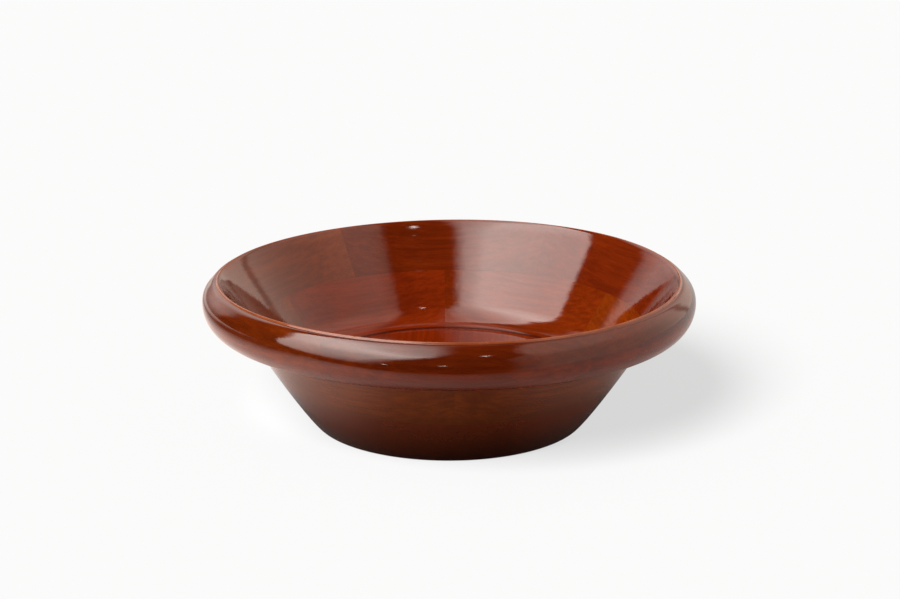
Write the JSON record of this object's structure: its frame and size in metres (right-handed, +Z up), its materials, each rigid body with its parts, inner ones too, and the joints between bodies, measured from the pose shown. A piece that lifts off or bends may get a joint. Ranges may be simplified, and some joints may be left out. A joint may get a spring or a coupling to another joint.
{
  "type": "wooden bowl",
  "caption": "Shallow turned wooden bowl with flared straight walls, a thick rolled overhanging rim and a narrow flat foot, glued up from board layers and segments.",
  "frame": {"origin": "centre of the foot, on the surface the bowl stands on", "axes": "+Z up, along the axis the bowl was turned about; the base boards' glued joints run along Y"},
  "size_m": [0.3, 0.3002, 0.0901],
  "materials": {
    "base_wood": "high-gloss lacquer over reddish-brown stain",
    "wall_wood": "high-gloss lacquer over reddish-brown stain",
    "rim_wood": "high-gloss lacquer over reddish-brown stain"
  },
  "bodies": {
    "root": {"base_board_left": "base_wood", "base_board_centre": "base_wood", "base_board_right": "base_wood", "wall_segment_1": "wall_wood", "wall_segment_2": "wall_wood", "wall_segment_3": "wall_wood", "wall_segment_4": "wall_wood", "wall_segment_5": "wall_wood", "wall_segment_6": "wall_wood", "rim_segment_1": "rim_wood", "rim_segment_2": "rim_wood", "rim_segment_3": "rim_wood", "rim_segment_4": "rim_wood", "rim_segment_5": "rim_wood", "rim_segment_6": "rim_wood"}
  },
  "joints": []
}
